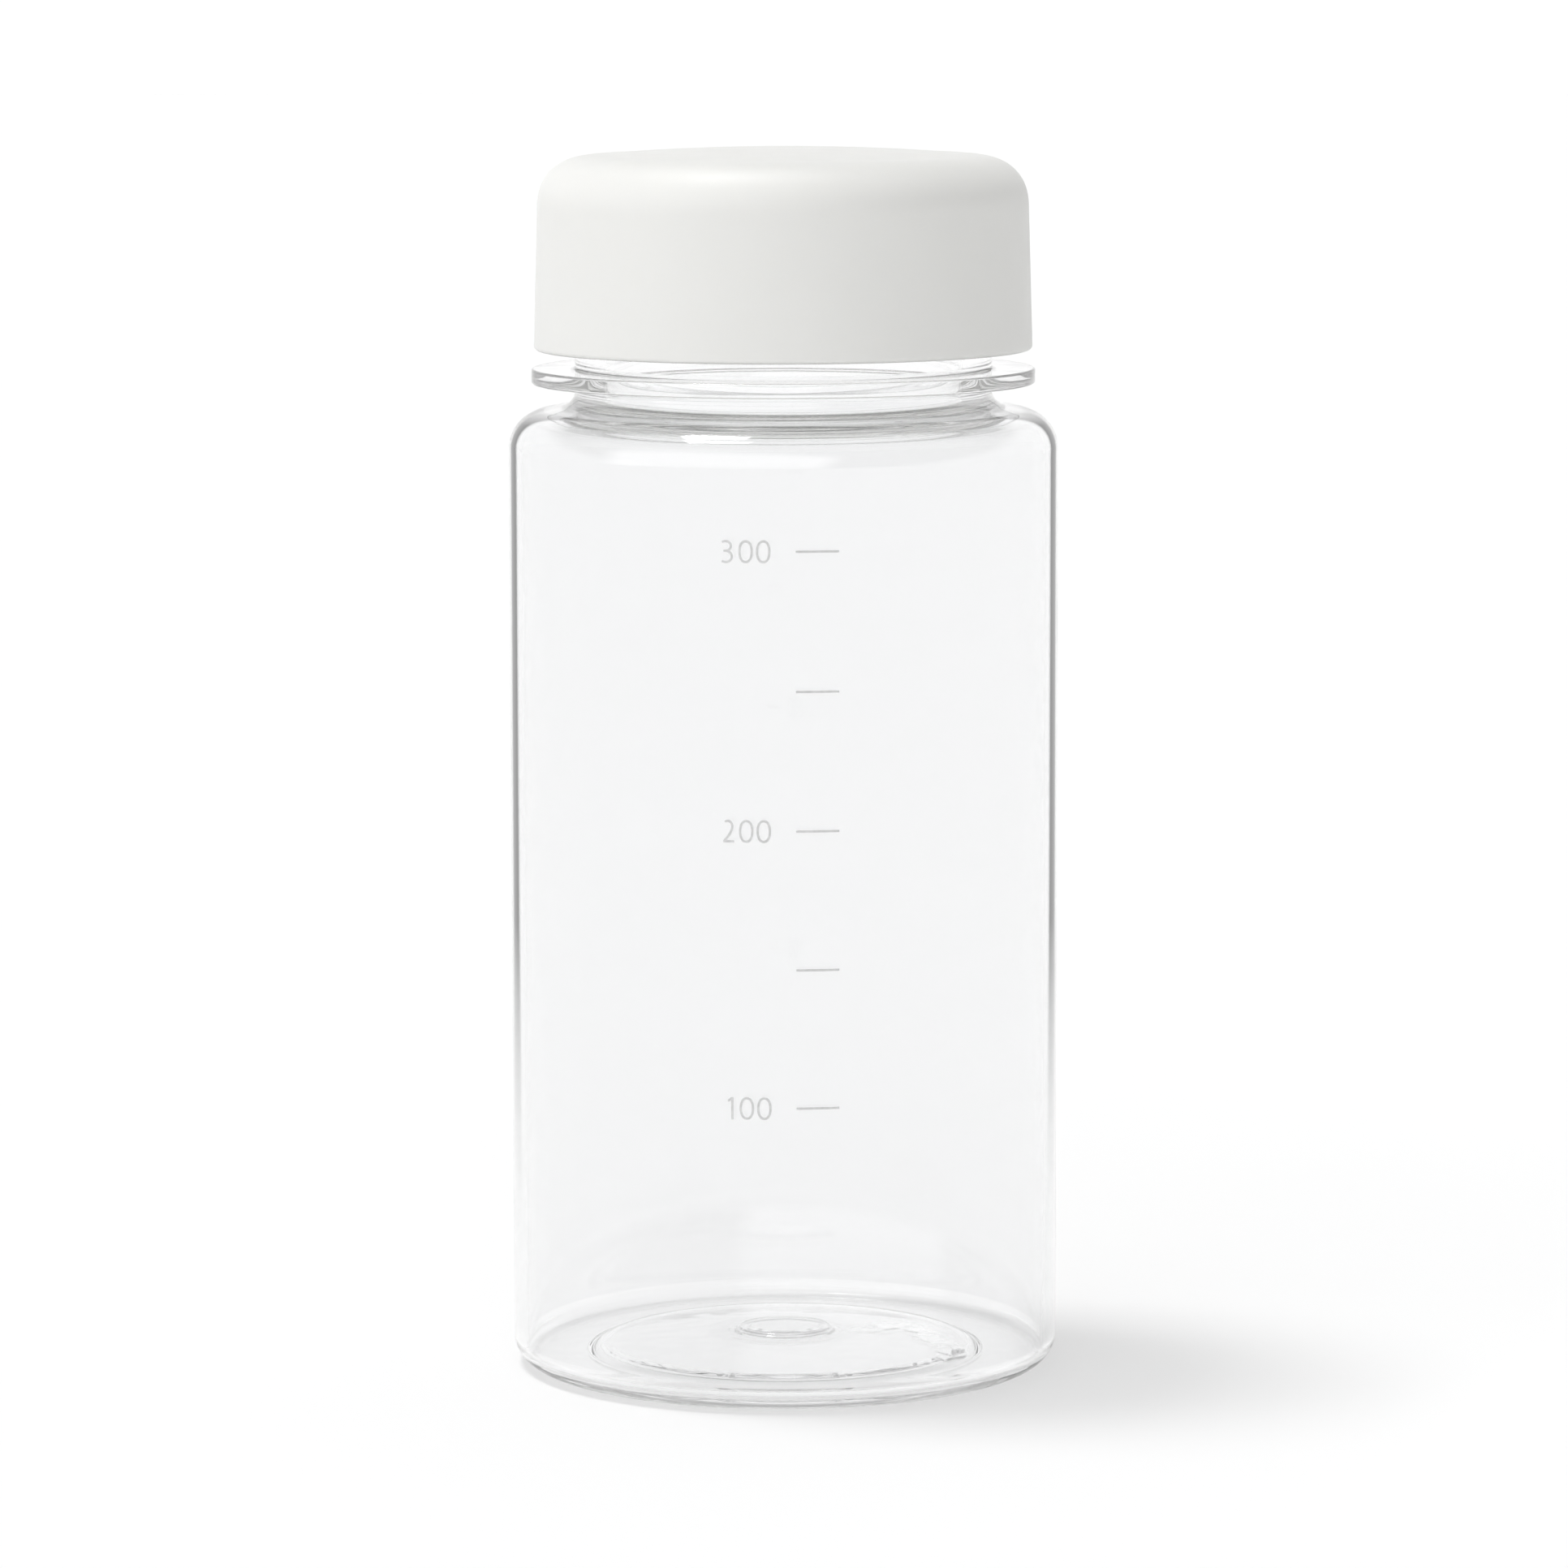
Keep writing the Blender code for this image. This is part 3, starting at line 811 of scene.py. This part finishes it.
def floor_material():
    """White paper over a light table, with a painted pool of light under the bottle's base."""
    material, nodes, links, shader = new_material("studio_floor")
    tone = noise_node(nodes, links, scale=14.0, detail=3.0)
    low = (FLOOR_ALBEDO - 0.006,) * 3
    high = (FLOOR_ALBEDO + 0.006,) * 3
    links.new(colour_between(nodes, links, tone.outputs["Fac"], low, high), shader.inputs["Base Color"])
    shader.inputs["Roughness"].default_value = 0.9
    shader.inputs["Specular IOR Level"].default_value = 0.0
    shader.inputs["Emission Color"].default_value = (1.0, 1.0, 1.0, 1.0)
    coordinates = nodes.new("ShaderNodeTexCoord")
    length = nodes.new("ShaderNodeVectorMath")
    length.operation = "LENGTH"
    links.new(coordinates.outputs["Object"], length.inputs[0])
    # Emission: the light table's even glow, plus a painted pool of light within the bottle's footprint.
    glow = smooth_range(
        nodes, links, length.outputs["Value"], BODY_R - 8.0 * MM, BODY_R, FLOOR_GLOW + PAINTED_POOL_UNDER_BASE, FLOOR_GLOW
    )
    links.new(glow, shader.inputs["Emission Strength"])
    return material


# ---------------------------------------------------------------------------------------------
# Studio
# ---------------------------------------------------------------------------------------------
def make_floor():
    bm = bmesh.new()
    bmesh.ops.create_circle(bm, cap_ends=True, segments=96, radius=FLOOR_RADIUS)
    mesh = bpy.data.meshes.new("studio_floor")
    bm.to_mesh(mesh)
    bm.free()
    floor = bpy.data.objects.new("studio_floor", mesh)
    floor.location.z = -FLOOR_DROP
    bpy.context.scene.collection.objects.link(floor)
    floor.data.materials.append(floor_material())


def softbox(nodes, links, ray, azimuth_deg, elevation_deg, half_width, half_height, soft, strength):
    """Light from a soft-edged rectangle of sky. Azimuth 0 is over the camera and 90 is to its left."""
    azimuth, elevation = math.radians(azimuth_deg), math.radians(elevation_deg)
    away = Vector((-math.sin(azimuth), -math.cos(azimuth), 0.0))
    centre = away * math.cos(elevation) + Vector((0.0, 0.0, math.sin(elevation)))
    sideways = Vector((away.y, -away.x, 0.0))
    upward = sideways.cross(centre)
    ahead = dot_node(nodes, links, ray, centre)
    safe = math_node(nodes, links, "MAXIMUM", ahead, 0.05)
    light = smooth_range(nodes, links, ahead, 0.05, 0.15, 0.0, strength)
    for direction, half in ((sideways, half_width), (upward, half_height)):
        offset = math_node(nodes, links, "DIVIDE", dot_node(nodes, links, ray, direction), safe)
        distance = math_node(nodes, links, "ABSOLUTE", offset, 0.0)
        inside = smooth_range(nodes, links, distance, half - soft, half + soft, 1.0, 0.0)
        light = math_node(nodes, links, "MULTIPLY", light, inside)
    return light


def make_world():
    """A pale cyclorama and two soft boxes, as light from far away so that the floor is evenly lit."""
    world = bpy.data.worlds.new("studio")
    bpy.context.scene.world = world
    world.use_nodes = True
    nodes, links = world.node_tree.nodes, world.node_tree.links
    background = nodes["Background"]
    coordinates = nodes.new("ShaderNodeTexCoord")
    ray = coordinates.outputs["Generated"]
    tilt = math.radians(BACKDROP_TILT)
    height = dot_node(nodes, links, ray, (0.0, -math.sin(tilt), math.cos(tilt)))
    light = smooth_range(nodes, links, height, 0.06, 0.34, HORIZON_LIGHT, SKY_LIGHT)
    key = softbox(nodes, links, ray, *KEY_AIM, *KEY_SIZE, KEY_SOFT, KEY_STRENGTH)
    fill = softbox(nodes, links, ray, *FILL_AIM, *FILL_SIZE, FILL_SOFT, FILL_STRENGTH)
    light = math_node(nodes, links, "ADD", light, key)
    light = math_node(nodes, links, "ADD", light, fill)
    links.new(light, background.inputs["Color"])
    background.inputs["Strength"].default_value = 1.0


def make_camera():
    data = bpy.data.cameras.new("camera")
    data.lens = CAMERA_LENS
    data.sensor_width = 36.0
    data.clip_start = 0.01
    data.clip_end = 50.0
    data.dof.use_dof = False
    camera = bpy.data.objects.new("camera", data)
    bpy.context.scene.collection.objects.link(camera)
    look = Matrix.Rotation(0.5 * math.pi - CAMERA_PITCH, 4, "X") @ Matrix.Rotation(CAMERA_ROLL, 4, "Z")
    camera.matrix_world = Matrix.Translation((0.0, -CAMERA_AWAY, CAMERA_HEIGHT)) @ look
    bpy.context.scene.camera = camera


def main():
    scene = bpy.context.scene
    scene.view_settings.view_transform = "Standard"
    scene.view_settings.look = "None"
    scene.cycles.max_bounces = LIGHT_BOUNCES
    scene.cycles.transmission_bounces = LIGHT_BOUNCES
    scene.cycles.glossy_bounces = LIGHT_BOUNCES

    make_world()
    make_floor()
    make_camera()

    body = bottle_piece(clear_plastic("clear_bottle_plastic", CLEAR_TINT), painted_edge_wall_plastic())
    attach(body, "bottle")
    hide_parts("bottle_body")
    for mark in scale_pieces(ink()):
        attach(mark, "bottle")
    shell = shell_piece(white_plastic("white_cap_polypropylene", SHELL_COLOUR, SHELL_ROUGHNESS, SHELL_GRAIN))
    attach(shell, "cap")
    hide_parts("cap_shell")
    # The insert's plastic carries a painted glow.
    insert_plastic_painted_glow = white_plastic(
        "white_insert_polypropylene_painted_glow", INSERT_COLOUR, INSERT_ROUGHNESS, INSERT_GRAIN, INSERT_PAINTED_GLOW
    )
    insert = insert_piece(insert_plastic_painted_glow)
    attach(insert, "cap")
    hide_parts("cap_insert")
    seal = seal_piece(silicone())
    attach(seal, "gasket")
    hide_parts("seal_ring")


main()
